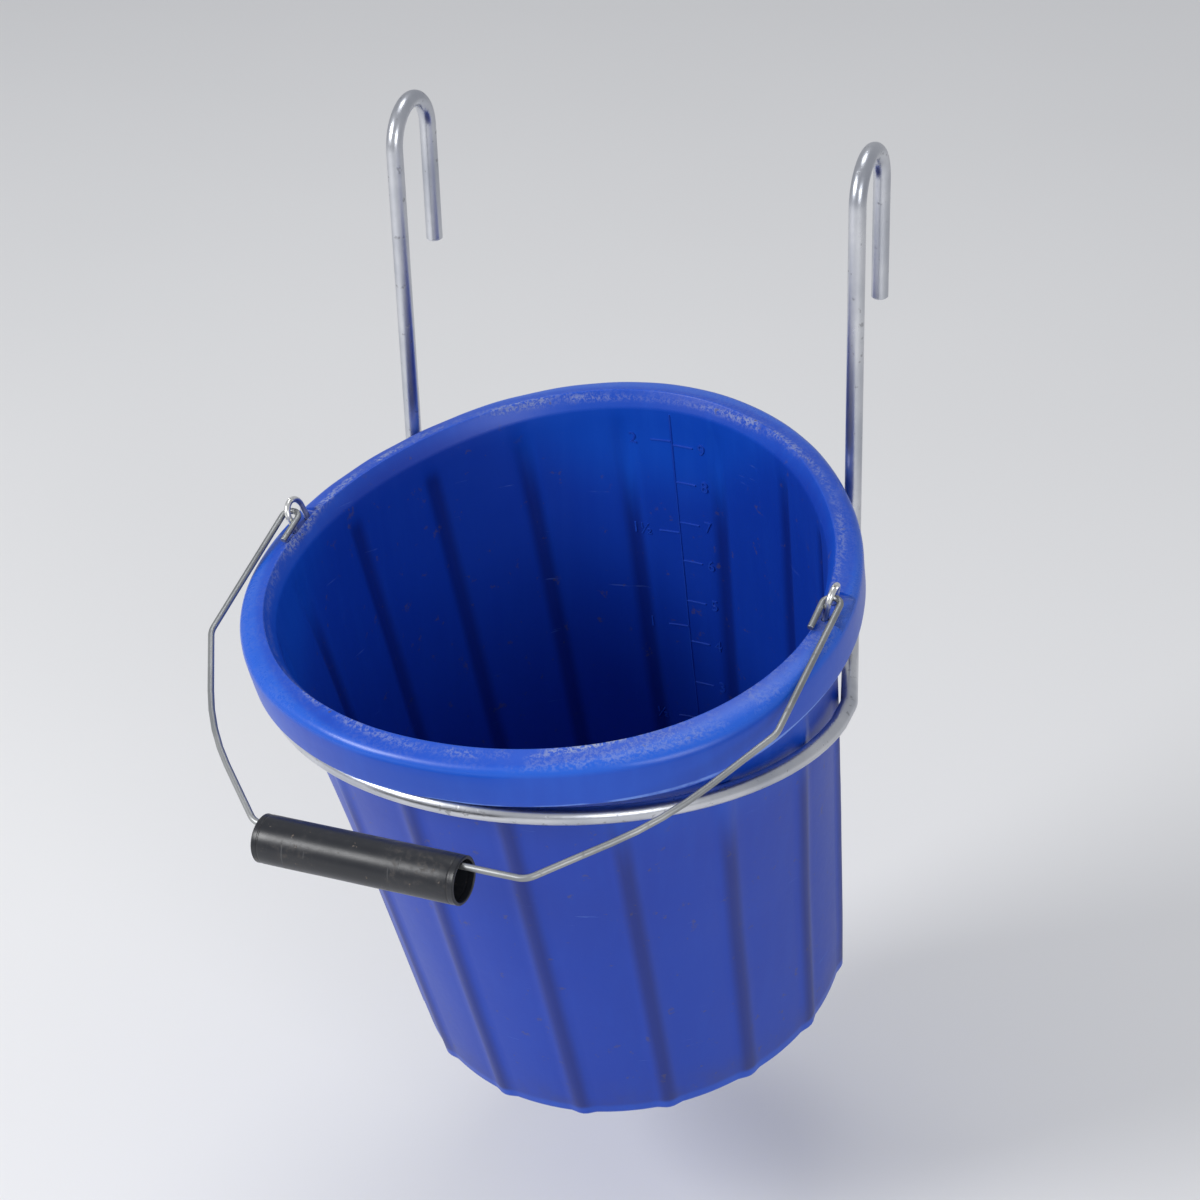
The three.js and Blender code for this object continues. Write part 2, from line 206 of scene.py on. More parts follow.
# corners with bend radii become the points of a bent wire or a rounded outline
def bend(corners, chordAngle=math.radians(6)):
    points = [corners[0][0].copy()]
    for (before, _), (corner, radius), (after, _) in zip(corners, corners[1:], corners[2:]):
        inward = (before - corner).normalized()
        onward = (after - corner).normalized()
        turn = math.pi - inward.angle(onward)
        if radius == 0 or turn < 1e-3:
            points.append(corner.copy())
            continue
        start = corner + inward * radius * math.tan(turn / 2)
        centre = corner + (inward + onward).normalized() * radius / math.cos(turn / 2)
        axis = onward.cross(inward).normalized()
        chords = max(2, math.ceil(turn / chordAngle))
        for k in range(chords + 1):
            swing = Matrix.Rotation(turn * k / chords, 3, axis)
            points.append(centre + swing @ (start - centre))
    points.append(corners[-1][0].copy())
    return points


def divided(points, longest):
    fine = [points[0]]
    for start, end in zip(points, points[1:]):
        pieces = max(1, math.ceil((end - start).length / longest))
        fine += [start.lerp(end, (k + 1) / pieces) for k in range(pieces)]
    return fine


# a round wire along points, with cut ends that are slightly broken at the edge
def sweepWire(name, points, radius, toFrame, sides=28, edge=0.35, wander=0.0):
    points = divided(points, 9 * radius)
    ring = []
    across = None
    verts = []
    for index, point in enumerate(points):
        ahead = (points[min(index + 1, len(points) - 1)] - point)
        behind = (point - points[max(index - 1, 0)])
        along = (ahead.normalized() + behind.normalized()).normalized()
        if across is None:
            across = along.orthogonal().normalized()
        across = (across - along * across.dot(along)).normalized()
        other = along.cross(across)
        offset = noise.noise_vector(point * 0.03) * wander
        ends = [(0.0, radius)]
        if index == 0:
            ends = [(0.0, radius - edge), (edge, radius)]
        elif index == len(points) - 1:
            ends = [(-edge, radius), (0.0, radius - edge)]
        for shift, reach in ends:
            ring.append(len(verts))
            for k in range(sides):
                angle = fullTurn * k / sides
                spoke = across * math.cos(angle) + other * math.sin(angle)
                verts.append(point + offset + along * shift + spoke * reach)
    faces = [tuple(range(sides))[::-1], tuple(range(ring[-1], ring[-1] + sides))]
    for a, b in zip(ring, ring[1:]):
        faces += [(a + k, a + (k + 1) % sides, b + (k + 1) % sides, b + k) for k in range(sides)]
    return toMesh(name, verts, faces, toFrame)


# bucket

def wallRadius(z):
    b = bucket
    return b["baseRadius"] + (b["mouthRadius"] - b["baseRadius"]) * (z + b["height"]) / b["height"]


def smooth(share):
    share = min(max(share, 0.0), 1.0)
    return share * share * (3 - 2 * share)


def fluteAt(angle, z):
    b = bucket
    step = fullTurn / b["flutes"]
    away = abs((angle % step) - step / 2) * wallRadius(z) / b["fluteHalfWidth"]
    crest = 0.5 + 0.5 * math.cos(math.pi * min(away, 1.0))
    return b["fluteHeight"] * crest ** b["fluteSharpness"] * smooth((-b["fluteTop"] - z) / b["fluteFade"])


def pinchAt(angle, z):
    b = bucket
    fade = min(max((z + b["pinchDepth"]) / (b["pinchDepth"] - b["fluteTop"]), 0.0), 1.0)
    return b["pinch"] * fade * math.cos(3 * (angle - b["turn"]))


# moves a point of the turned outline to where it is on the real, used bucket
def formed(reach, z, angle):
    b = bucket
    pastFloor = reach > b["baseRadius"] - b["footWidth"] - 3
    out = pinchAt(angle, z) if pastFloor else 0.0
    if pastFloor and reach < wallRadius(z) + 0.5:
        out += fluteAt(angle, z)
    away = (angle - b["flareAngle"] + math.pi) % fullTurn - math.pi
    flare = math.exp(-(away / b["flareWidth"]) ** 2)
    outer = smooth((reach - b["mouthRadius"] - 4) / 10)  # 0 on the wall, 1 out on the rim
    out += b["flareOut"] * flare * outer
    drop = b["flareDrop"] * flare * outer
    unevenAt = Vector((math.sin(angle) * 3, math.cos(angle) * 3, z * 0.02))
    out += b["uneven"] * noise.noise(unevenAt)
    drop += b["rimUneven"] * outer * noise.noise(unevenAt * 2.3)
    reach += out
    return Vector((reach * math.sin(angle), reach * math.cos(angle), z - drop))


def bucketOutline():
    b = bucket
    top = -b["height"] + b["floor"] + b["footHeight"]
    under = -b["rimThickness"] - b["rimFall"]
    skirtIn = b["rimRadius"] - b["skirtThickness"]
    footIn = b["baseRadius"] - b["footWidth"]
    corners = [  # distance from the axis, height and bend radius, from the underside round to the inside
        (0, -b["height"] + b["footHeight"], 0),
        (footIn - 1.5, -b["height"] + b["footHeight"], 1.0),
        (footIn, -b["height"], 1.0),
        (b["baseRadius"], -b["height"], 3.0),
        (wallRadius(under), under, 1.0),
        (skirtIn, under, 1.6),
        (skirtIn - b["skirtTaper"], -b["skirtDepth"], 0.7),
        (b["rimRadius"] - b["skirtTaper"], -b["skirtDepth"], 0.9),
        (b["rimRadius"], -b["rimFall"], b["rimCorner"]),
        (b["mouthRadius"] + b["ridge"], 0, 0.8),
        (wallRadius(-b["lipDepth"]) - b["wall"], -b["lipDepth"], 5.0),
        (wallRadius(top) - b["wall"], top, 4.0),
        (0, top, 0),
    ]
    path = bend([(Vector((r, 0, z)), radius) for r, z, radius in corners], b["chordAngle"])
    return divided(path, b["longestStep"])


def makeBucket():
    outline = bucketOutline()
    count = bucket["segments"]
    verts = [outline[0].copy()]
    rings = []
    for point in outline[1:-1]:
        rings.append(len(verts))
        verts += [formed(point.x, point.z, fullTurn * k / count) for k in range(count)]
    verts.append(outline[-1].copy())
    faces = []
    for k in range(count):
        nextK = (k + 1) % count
        faces.append((0, rings[0] + k, rings[0] + nextK))
        faces.append((len(verts) - 1, rings[-1] + nextK, rings[-1] + k))
        faces += [(a + k, b + k, b + nextK, a + nextK) for a, b in zip(rings, rings[1:])]
    return toMesh("bucket", verts, faces, bucketBasis)


# ears: a boss under the rim, a notch across it and a drilled hole for each staple leg

ear = {
    "wireDiameter": 3.0, "span": 11.4, "lean": math.radians(15), "inset": 9.5, "rise": 10.5,
    "legDepth": 11.92, "notchLength": 22.0, "notchDepth": 3.5, "notchEdge": 1.1,
    "bossTop": 3.0, "bossLength": 24.0, "bossDepth": 17.0, "bossEdge": 0.8,
    "holeRadius": 1.85, "holeSpare": 0.2, "cutPast": 9.0,
}
stapleX = bucket["rimRadius"] - ear["inset"]


def earBasis(side):
    lean = Matrix.Rotation(side * ear["lean"], 4, "Y")
    return bucketBasis @ Matrix.Translation(Vector((side * stapleX, 0, -ear["notchDepth"])) * mm) @ lean


def blockBetween(name, low, high, edge):
    low, high = Vector(low), Vector(high)
    corners = [Vector((x, y, z)) for x in (low.x, high.x) for y in (low.y, high.y) for z in (low.z, high.z)]
    faces = [(0, 1, 3, 2), (4, 6, 7, 5), (0, 4, 5, 1), (2, 3, 7, 6), (0, 2, 6, 4), (1, 5, 7, 3)]
    made = toMesh(name, corners, faces, bucketBasis)
    rounding = made.modifiers.new("rounding", "BEVEL")
    rounding.width = edge * mm
    rounding.segments = 3
    return made


def combine(target, tool, operation):
    step = target.modifiers.new("combine", "BOOLEAN")
    step.operation = operation
    step.solver = "EXACT"
    step.object = tool
    graph = bpy.context.evaluated_depsgraph_get()
    joined = bpy.data.meshes.new_from_object(target.evaluated_get(graph))
    target.modifiers.remove(step)
    target.data = joined
    bpy.data.objects.remove(tool)


def cutEars(shell):
    b = bucket
    outer = b["rimRadius"] - b["skirtThickness"] / 2 - b["skirtTaper"]
    for side in (-1, 1):
        spanX = sorted((side * (b["mouthRadius"] - 1), side * outer))
        low = (spanX[0], -ear["bossLength"] / 2, -ear["bossDepth"])
        high = (spanX[1], ear["bossLength"] / 2, -ear["bossTop"])
        combine(shell, blockBetween("boss", low, high, ear["bossEdge"]), "UNION")
        spanX = sorted((side * (stapleX - ear["wireDiameter"]), side * (b["rimRadius"] + ear["cutPast"])))
        low = (spanX[0], -ear["notchLength"] / 2, -ear["notchDepth"])
        high = (spanX[1], ear["notchLength"] / 2, ear["cutPast"])
        combine(shell, blockBetween("notch", low, high, ear["notchEdge"]), "DIFFERENCE")
        for leg in (-1, 1):
            y = leg * ear["span"] / 2
            ends = [Vector((0, y, -ear["legDepth"] - ear["holeSpare"])), Vector((0, y, ear["rise"]))]
            drill = sweepWire("drill", ends, ear["holeRadius"], earBasis(side), sides=20)
            combine(shell, drill, "DIFFERENCE")
    shell.data.set_sharp_from_angle(angle=math.radians(sharpAngle))


def makeStaple(name, side):
    half = ear["span"] / 2
    top = ear["rise"] + ear["notchDepth"]
    corners = [
        (Vector((0, -half, -ear["legDepth"])), 0),
        (Vector((0, -half, top)), half),
        (Vector((0, half, top)), half),
        (Vector((0, half, -ear["legDepth"])), 0),
    ]
    return sweepWire(name, bend(corners), ear["wireDiameter"] / 2, earBasis(side), sides=20)


# measuring scale: raised lines and numbers inside the back wall

scaleMarks = {
    "line": 1.0, "proud": 0.45, "sunk": -0.3, "bevel": 0.25,
    "longestStep": 2.5, "numberDepth": 0.4, "crisp": 25,
    "top": -10.0, "bottom": -236.0, "tick": 11.0, "numberSize": 8.5,
    "litres": {
        "9": -26.9, "8": -47.8, "7": -70.9, "6": -93.2,
        "5": -117.0, "4": -141.5, "3": -167.0, "2": -194.0,
    },
    "gallons": {"2": -25.0, "1½": -77.0, "1": -132.6, "½": -190.0},
    "litreNumberAt": 16.0, "gallonNumberAt": -20.0,
}


# a point on the inner wall: x along the wall, z its height, and how far it stands out of the wall
def onInnerWall(x, z, out):
    reach = wallRadius(z) - bucket["wall"]
    angle = x / reach
    reach += fluteAt(angle, z) + pinchAt(angle, z) - out
    return Vector((reach * math.sin(angle), reach * math.cos(angle), z))


def strip(verts, faces, lowX, highX, lowZ, highZ):
    proud, sunk, bevel = scaleMarks["proud"], scaleMarks["sunk"], scaleMarks["bevel"]
    steps = max(1, math.ceil(max(highX - lowX, (highZ - lowZ) / 2) / scaleMarks["longestStep"]))
    tall = highZ - lowZ > highX - lowX
    start = len(verts)
    for k in range(steps + 1):
        share = k / steps
        if tall:
            z = lowZ + (highZ - lowZ) * share
            section = [(lowX, z, sunk), (lowX + bevel, z, proud), (highX - bevel, z, proud), (highX, z, sunk)]
        else:
            x = lowX + (highX - lowX) * share
            section = [(x, highZ, sunk), (x, highZ - bevel, proud), (x, lowZ + bevel, proud), (x, lowZ, sunk)]
        verts += [onInnerWall(*corner) for corner in section]
    for k in range(steps):
        a = start + 4 * k
        faces += [(a + i, a + (i + 1) % 4, a + 4 + (i + 1) % 4, a + 4 + i) for i in range(4)]
    faces.append((start, start + 3, start + 2, start + 1))
    end = start + 4 * steps
    faces.append((end, end + 1, end + 2, end + 3))


def addNumber(verts, faces, text, x, z):
    letter = bpy.data.curves.new("number", "FONT")
    letter.body = text
    letter.size = scaleMarks["numberSize"]
    letter.extrude = scaleMarks["numberDepth"]
    letter.align_x = "CENTER"
    letter.align_y = "CENTER"
    number = addObject("number", letter)
    mesh = number.evaluated_get(bpy.context.evaluated_depsgraph_get()).to_mesh()
    start = len(verts)
    verts += [onInnerWall(x + v.co.x, z + v.co.y, v.co.z) for v in mesh.vertices]
    faces += [tuple(start + i for i in face.vertices) for face in mesh.polygons]
    bpy.data.objects.remove(number)


def makeScale():
    s = scaleMarks
    half = s["line"] / 2
    verts = []
    faces = []
    strip(verts, faces, -half, half, s["bottom"], s["top"])
    for text, z in s["litres"].items():
        strip(verts, faces, half, s["tick"], z - half, z + half)
        addNumber(verts, faces, text, s["litreNumberAt"], z)
    for text, z in s["gallons"].items():
        strip(verts, faces, -s["tick"], -half, z - half, z + half)
        addNumber(verts, faces, text, s["gallonNumberAt"], z)
    return toMesh("measuring_scale", verts, faces, bucketBasis, crisp=scaleMarks["crisp"])


# bail and grip

bail = {
    "wireDiameter": 3.0, "reach": 178.0, "shoulderToMiddle": 98.0, "narrowing": 1.5,
    "bowOut": 8.0, "bowForward": 6.0, "eyeWidth": 8.4, "tail": 15.0, "middleHalf": 65.5,
    "shoulderBend": 12.0, "bowBend": 150.0, "middleBend": 10.0, "wander": 0.1,
}
grip = {
    "length": 98.0, "diameter": 21.6, "wall": 1.6, "edge": 0.5, "innerEdge": 0.3,
    "slide": 13.0, "hangGap": 0.25,
    "lineDepth": 0.12, "lineStart": 2.2, "lineEnd": 3.2,  # a faint line pressed round each end
    "segments": 72, "longestStep": 6.0, "uneven": 0.006,
}


def makeBail():
    b = bail
    loopMiddle = ear["notchDepth"] + (bucket["hingeHeight"] + ear["rise"]) / 2
    eyeCentre = stapleX + loopMiddle * math.tan(ear["lean"])
    eyeRadius = b["eyeWidth"] / 2
    shoulderX = eyeCentre + eyeRadius - b["narrowing"]
    shoulderReach = b["reach"] - b["shoulderToMiddle"]
    bowX = (shoulderX + b["middleHalf"]) / 2 + b["bowOut"]
    bowReach = (shoulderReach + b["reach"]) / 2 + b["bowForward"]
    half = [  # sideways, forward and bend radius, from the tail round the eye to the middle
        (eyeCentre - eyeRadius, b["tail"] + eyeRadius, 0),
        (eyeCentre - eyeRadius, 0, eyeRadius),
        (eyeCentre + eyeRadius, 0, eyeRadius),
        (shoulderX, shoulderReach, b["shoulderBend"]),
        (bowX, bowReach, b["bowBend"]),
        (b["middleHalf"], b["reach"], b["middleBend"]),
    ]
    left = [(Vector((-x, -forward, 0)), radius) for x, forward, radius in half]
    right = [(Vector((x, -forward, 0)), radius) for x, forward, radius in reversed(half)]
    points = bend(left + right)
    return sweepWire("bail", points, b["wireDiameter"] / 2, bailBasis, sides=20, wander=b["wander"])


def makeGrip():
    outer = grip["diameter"] / 2
    inner = outer - grip["wall"]
    end = grip["length"] / 2
    hang = inner - bail["wireDiameter"] / 2 - grip["hangGap"]
    edge, innerEdge = grip["edge"], grip["innerEdge"]
    pressed, lineStart, lineEnd = outer - grip["lineDepth"], grip["lineStart"], grip["lineEnd"]
    corners = [
        (inner, 0), (inner, -end + innerEdge), (inner + innerEdge, -end), (outer - edge, -end),
        (outer, -end + edge), (pressed, -end + lineStart), (outer, -end + lineEnd), (outer, end - lineEnd),
        (pressed, end - lineStart), (outer, end - edge), (outer - edge, end),
        (inner + innerEdge, end), (inner, end - innerEdge), (inner, 0),
    ]
    outline = divided([Vector((r, 0, x)) for r, x in corners], grip["longestStep"])[:-1]
    count = grip["segments"]
    verts = []
    for point in outline:
        for k in range(count):
            angle = fullTurn * k / count
            spot = Vector((point.z, point.x * math.cos(angle), point.x * math.sin(angle)))
            uneven = 1 + grip["uneven"] * noise.noise(spot * 0.06)
            verts.append(Vector((spot.x - grip["slide"], spot.y * uneven, spot.z * uneven - hang)))
    faces = []
    for i in range(len(outline)):
        a, b = i * count, (i + 1) % len(outline) * count
        faces += [(a + k, b + k, b + (k + 1) % count, a + (k + 1) % count) for k in range(count)]
    return toMesh("grip", verts, faces, gripBasis)


# holder rod

rod = {
    "diameter": 8.0, "ringRadius": 135.3, "ringRise": math.radians(4.5), "ringEnd": math.radians(98),
    "uprightX": 113.43, "uprightY": 87.6, "legDrop": 16.0, "uprightHeight": 232.0,
    "hookWidth": 37.6, "hookLeg": 78.0, "kinkRadius": 26.0, "footRadius": 17.0, "ringSteps": 68,
    "endSteps": 3,  # steps left off each end of the ring for the bend that follows
}


def ringPoint(angle):
    x = rod["ringRadius"] * math.sin(angle)
    y = -rod["ringRadius"] * math.cos(angle)
    return Vector((x, y * math.cos(rod["ringRise"]), -y * math.sin(rod["ringRise"])))


def makeRod():
    r = rod
    sides = {}
    for side in (-1, 1):
        foot = Vector((side * r["uprightX"], r["uprightY"], -r["legDrop"]))
        top = Vector((foot.x, foot.y, r["uprightHeight"]))
        over = top + Vector((0, r["hookWidth"], 0))
        tip = over - Vector((0, 0, r["hookLeg"]))
        hook = r["hookWidth"] / 2
        kink = ringPoint(side * r["ringEnd"])
        sides[side] = [
            (tip, 0), (over, hook), (top, hook),
            (foot, r["footRadius"]), (kink, r["kinkRadius"]),
        ]
    steps = r["ringSteps"]
    onRing = range(r["endSteps"], steps + 1 - r["endSteps"])
    arc = [(ringPoint(r["ringEnd"] * (2 * k / steps - 1)), 0) for k in onRing]
    points = bend(sides[-1] + arc + sides[1][::-1])
    seatY = r["uprightY"] + r["hookWidth"] / 2
    toFrame = Matrix.Translation(Vector((0, -seatY, r["diameter"] / 2 - r["uprightHeight"])) * mm)
    return sweepWire("holder", points, r["diameter"] / 2, toFrame, sides=36, edge=0.6)


# finishes

bucketFinish = {
    "deepBlue": (0.0028, 0.052, 0.43, 1), "blue": (0.0045, 0.070, 0.50, 1),
    "streak": (0.008, 0.085, 0.54, 1), "cornerHighlight": (0.020, 0.135, 0.66, 1),
    "shadedInside": (0.003, 0.028, 0.33, 1), "channel": (0.002, 0.008, 0.12, 1),
    "flash": (0.16, 0.30, 0.78, 1), "rub": (0.10, 0.20, 0.62, 1), "scuff": (0.36, 0.40, 0.50, 1),
    "nick": (0.07, 0.06, 0.07, 1), "notchShade": (0.03, 0.028, 0.035, 1), "dirt": (0.10, 0.075, 0.06, 1),
    "silt": (0.05, 0.05, 0.08, 1),
    "roughness": 0.26, "specular": 0.4, "bumpStrength": 0.22, "bumpDepth": 0.0006,
}


def bucketPaint():
    f = bucketFinish
    paint = Paint("polythene")
    spot = paint.place()
    toBucket = bucketBasis.inverted()
    rows = [tuple(toBucket[i][:3]) for i in range(3)]
    shift = [toBucket[i][3] for i in range(3)]
    # the point in the bucket's own frame, in metres
    x = paint.dot(spot, rows[0]) + shift[0]
    y = paint.dot(spot, rows[1]) + shift[1]
    z = paint.dot(spot, rows[2]) + shift[2]
    reach = (x * x + y * y).op("SQRT")
    angle = paint.math("ARCTAN2", x, y)
    fluteTurn = (angle * (bucket["flutes"] / fullTurn)).op("FRACT")
    fromFlute = (fluteTurn - 0.5).op("ABSOLUTE") * reach * (fullTurn / bucket["flutes"])
    cloud = paint.noise(spot, 9.0, 4.0)
    fine = paint.noise(spot, 240.0, 4.0, 0.7)
    patchy = paint.noise(spot, 42.0, 4.0, 0.65)
    streak = paint.noise(paint.stretched(spot, (160, 160, 9)), 1.0, 3.0)
    scratch = paint.noise(paint.stretched(spot, (30, 30, 520)), 1.0, 2.0)

    # wear along the ridge round the mouth, most at the back and the two sides
    speck = paint.noise(spot, 620.0, 3.0, 0.75)
    ridgeAt = (bucket["mouthRadius"] + bucket["ridge"]) * mm
    wander = (patchy - 0.5) * 0.004
    lip = paint.step(z, -0.006, -0.0015)
    innerEdge = paint.band(reach + wander, ridgeAt, 0.0008, 0.0022) * lip
    rimTop = paint.step(reach, 0.1275, 0.130) * paint.step(z, -0.0045, -0.002)
    frontRight = paint.band(angle, 2.2, 0.42, 0.35)
    leftSide = paint.band(angle, -1.9, 0.7, 0.4)
    back = paint.step(y, 0.08, 0.13)
    worn = innerEdge * (leftSide * 0.5 + back * 0.6 + frontRight * 0.7 + 0.35)
    worn = worn + rimTop * (frontRight * 0.3 + 0.1)
    # the rim's outer corner with its painted highlight, then scuffs, chips and scratches
    cornerHighlight = paint.step(reach, 0.1365, 0.1405) * paint.band(z, -0.0030, 0.0012, 0.0030)
    scuff = worn * paint.step(patchy, 0.34, 0.56) * paint.step(speck, 0.42, 0.6)
    flash = paint.band(z, -0.0232, 0.0004, 0.0007) * paint.step(reach, 0.134, 0.138)
    flash = flash * paint.step(patchy, 0.4, 0.6)  # the thin mould line round the skirt's foot
    nick = paint.step(paint.noise(spot, 310.0, 1.0), 0.735, 0.765) * 0.8
    rub = paint.step(scratch, 0.69, 0.73) * paint.step(patchy, 0.5, 0.64)
    # inside: painted shade over the whole inner wall, specks of dirt, silt near the floor and painted shade
    # in the hollow behind each flute
    inner = (bucket["mouthRadius"] - bucket["wall"]) * mm
    within = (1 - paint.step(reach, inner - 0.004, inner + 0.001)) * paint.step(z, -0.251, -0.248)
    dirt = within * paint.step(paint.noise(spot, 130.0, 3.0, 0.75), 0.63, 0.72)
    silt = within * paint.step(z * -1.0, 0.225, 0.252) * paint.step(patchy, 0.3, 0.7)
    channel = within * (1 - paint.step(fromFlute, 0.0012, 0.0062)) * (1 - paint.step(z, -0.024, -0.014))
    # painted shade on the floor of each ear's notch
    notch = (1 - paint.step(y.op("ABSOLUTE"), 0.0105, 0.0125)) * paint.band(z, -0.0036, 0.0006, 0.001)
    notchShade = notch * paint.step(reach, 0.129, 0.131) * paint.step(patchy, 0.35, 0.6)

    blue = paint.mix(paint.step(cloud, 0.3, 0.7), f["deepBlue"], f["blue"])
    blue = paint.mix(paint.step(streak, 0.42, 0.75) * 0.35, blue, f["streak"])
    # painted highlight: a lighter blue band along the rim's outer corner
    blue = paint.mix(cornerHighlight * 0.5, blue, f["cornerHighlight"])
    # painted shade: the whole inside darker than the outside
    blue = paint.mix(within * 0.6, blue, f["shadedInside"])
    blue = paint.mix(channel * 0.62, blue, f["channel"])
    blue = paint.mix(flash * 0.75, blue, f["flash"])
    blue = paint.mix(rub * 0.3, blue, f["rub"])
    blue = paint.mix(scuff * 0.62, blue, f["scuff"])
    blue = paint.mix(nick * worn, blue, f["nick"])
    # painted shade: the floor of each ear's notch darkened towards near-black
    blue = paint.mix(notchShade * 0.35, blue, f["notchShade"])
    blue = paint.mix(dirt * 0.4, blue, f["dirt"])
    colour = paint.mix(silt * 0.3, blue, f["silt"])
    roughness = cloud * 0.14 + fine * 0.08 + scuff * 0.3 + rub * 0.1 + within * 0.06
    roughness = roughness - cornerHighlight * 0.1 + f["roughness"]
    height = fine * 0.3 + patchy * 0.25 + streak * 0.12 - rub * 0.5 - scuff * 0.6
    normal = paint.bump(height, f["bumpStrength"], f["bumpDepth"])
    paint.set(Base_Color=colour, Roughness=roughness, Normal=normal)
    return paint.set(Specular_IOR_Level=f["specular"])


scaleFinish = {
    "deepBlue": (0.004, 0.040, 0.38, 1), "blue": (0.014, 0.075, 0.48, 1),
    "roughness": 0.3, "specular": 0.5, "bumpStrength": 0.15, "bumpDepth": 0.0004,
}


def scalePaint():
    f = scaleFinish
    paint = Paint("polythene_relief")
    spot = paint.place()
    cloud = paint.noise(spot, 60.0, 3.0)
    fine = paint.noise(spot, 300.0, 3.0)
    colour = paint.mix(cloud, f["deepBlue"], f["blue"])
    normal = paint.bump(fine, f["bumpStrength"], f["bumpDepth"])
    paint.set(Base_Color=colour, Roughness=fine * 0.15 + f["roughness"], Normal=normal)
    return paint.set(Specular_IOR_Level=f["specular"])


wireFinish = {
    "staple_wire": {
        "pale": (0.82, 0.82, 0.80, 1), "dark": (0.66, 0.66, 0.65, 1),
        "roughness": 0.16, "pits": 0.4, "rust": 0.2,
    },
    "bail_wire": {
        "pale": (0.40, 0.41, 0.41, 1), "dark": (0.26, 0.27, 0.28, 1),
        "roughness": 0.32, "pits": 0.7, "rust": 0.35,
    },
    "holder_rod": {
        "pale": (0.66, 0.67, 0.70, 1), "dark": (0.46, 0.48, 0.53, 1),
        "roughness": 0.16, "pits": 0.8, "rust": 0.3,
    },
    "pitColour": (0.20, 0.20, 0.21, 1), "rustColour": (0.16, 0.09, 0.045, 1),
    "bumpStrength": 0.25, "bumpDepth": 0.0003,
}


# bright drawn wire or rod: drawing lines, tiny pits, a few tool marks and brown specks
def wirePaint(name):
    f = wireFinish
    metal = f[name]
    paint = Paint(name)
    spot = paint.place()
    cloud = paint.noise(spot, 24.0, 4.0)
    fine = paint.noise(spot, 520.0, 4.0, 0.7)
    drawn = paint.noise(paint.stretched(spot, (700, 700, 26)), 1.0, 3.0)
    pit = paint.step(paint.noise(spot, 260.0, 2.0), 0.64, 0.72) * metal["pits"]
    mark = paint.step(paint.noise(spot, 46.0, 5.0, 0.75), 0.66, 0.74)
    brown = mark * metal["rust"]
    colour = paint.mix(paint.step(cloud, 0.3, 0.72), metal["pale"], metal["dark"])
    colour = paint.mix(pit * 0.6, colour, f["pitColour"])
    colour = paint.mix(brown, colour, f["rustColour"])
    roughness = cloud * 0.12 + fine * 0.1 + drawn * 0.08 + brown * 0.4 + pit * 0.15 + metal["roughness"]
    height = fine * 0.35 + drawn * 0.35 - pit * 0.8 - mark * 0.2
    paint.set(Base_Color=colour, Roughness=roughness, Metallic=1.0 - brown * 0.8)
    return paint.set(Normal=paint.bump(height, f["bumpStrength"], f["bumpDepth"]))


gripFinish = {
    "black": (0.007, 0.008, 0.011, 1), "faded": (0.016, 0.018, 0.024, 1), "dust": (0.12, 0.10, 0.085, 1),
    "crumbs": (0.16, 0.12, 0.09, 1), "scratch": (0.12, 0.125, 0.13, 1), "endLineAndShade": (0.004, 0.004, 0.006, 1),
    "roughness": 0.27, "specular": 0.45, "bumpStrength": 0.3, "bumpDepth": 0.0004,
}


def gripPaint():
    f = gripFinish
    paint = Paint("black_tube")
    spot = paint.place()
    toGrip = gripBasis.inverted()
    along = paint.dot(spot, tuple(toGrip[0][:3])) + (toGrip[0][3] + grip["slide"] * mm)
    # the pressed line near each end: a dent in the bump and painted shade in the colour
    endLineAndShade = paint.band(along.op("ABSOLUTE"), (grip["length"] / 2 - 3.0) * mm, 0.0002, 0.0004)
    cloud = paint.noise(spot, 30.0, 5.0, 0.7)
    speck = paint.noise(spot, 420.0, 4.0, 0.7)
    around = paint.noise(paint.stretched(spot, (900, 60, 60)), 1.0, 3.0)
    dust = paint.step(cloud, 0.46, 0.7) * paint.step(speck, 0.45, 0.66)
    crumbs = paint.step(paint.noise(spot, 190.0, 3.0, 0.8), 0.66, 0.72)
    scratch = paint.step(around, 0.66, 0.72) * paint.step(cloud, 0.45, 0.6)
    colour = paint.mix(cloud, f["black"], f["faded"])
    colour = paint.mix(dust * 0.4, colour, f["dust"])
    colour = paint.mix(crumbs * 0.6, colour, f["crumbs"])
    colour = paint.mix(scratch * 0.35, colour, f["scratch"])
    # painted shade: the pressed line near each end darkened
    colour = paint.mix(endLineAndShade * 0.5, colour, f["endLineAndShade"])
    roughness = cloud * 0.14 + dust * 0.3 + crumbs * 0.2 + scratch * 0.12 + f["roughness"]
    height = speck * 0.3 + crumbs * 0.7 - scratch * 0.3 - endLineAndShade * 0.8
    normal = paint.bump(height, f["bumpStrength"], f["bumpDepth"])
    paint.set(Base_Color=colour, Roughness=roughness, Normal=normal)
    return paint.set(Specular_IOR_Level=f["specular"])


floorFinish = {"grey": (0.80, 0.80, 0.80, 1), "paleGrey": (0.84, 0.84, 0.84, 1), "roughness": 0.9}


def floorPaint():
    paint = Paint("studio_floor")
    soft = paint.noise(paint.place(), 2.0, 2.0)
    colour = paint.mix(soft, floorFinish["grey"], floorFinish["paleGrey"])
    return paint.set(Base_Color=colour, Roughness=floorFinish["roughness"])


# building
def dress(obj, paint, body, slotName, *nodes):
    obj.data.materials.clear()
    obj.data.materials.append(paint)
    if nodes:
        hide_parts(*nodes)
    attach(obj, body)


shell = makeBucket()
cutEars(shell)
dress(shell, bucketPaint(), "bucket", "polythene", "bucket_shell")
print("bucket shell done")

dress(makeScale(), scalePaint(), "bucket", "polythene")
print("measuring scale done")

